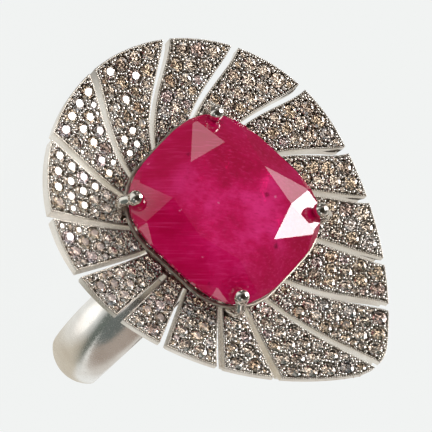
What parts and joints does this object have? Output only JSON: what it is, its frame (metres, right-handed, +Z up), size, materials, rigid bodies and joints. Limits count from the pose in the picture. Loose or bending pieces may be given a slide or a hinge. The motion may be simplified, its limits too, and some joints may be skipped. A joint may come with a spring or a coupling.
{
  "type": "cocktail ring",
  "caption": "Cocktail ring: cushion-cut ruby in four claws over a pierced, leaf-shaped pave plate on a tapered band.",
  "frame": {"origin": "middle of the bounding box's underside, on the floor that the ring lies on", "axes": "+Z up from the floor; the ruby faces -Y and up; the finger hole's axis lies over the Y axis and rises towards +Y"},
  "size_m": [0.0272, 0.0328, 0.0305],
  "materials": {
    "white_gold": "polished",
    "ruby": "polished",
    "diamond": "polished"
  },
  "bodies": {
    "root": {"ring_mount": "white_gold", "ruby": "ruby", "pave_round_end": "diamond", "pave_tip_end": "diamond"}
  },
  "joints": []
}
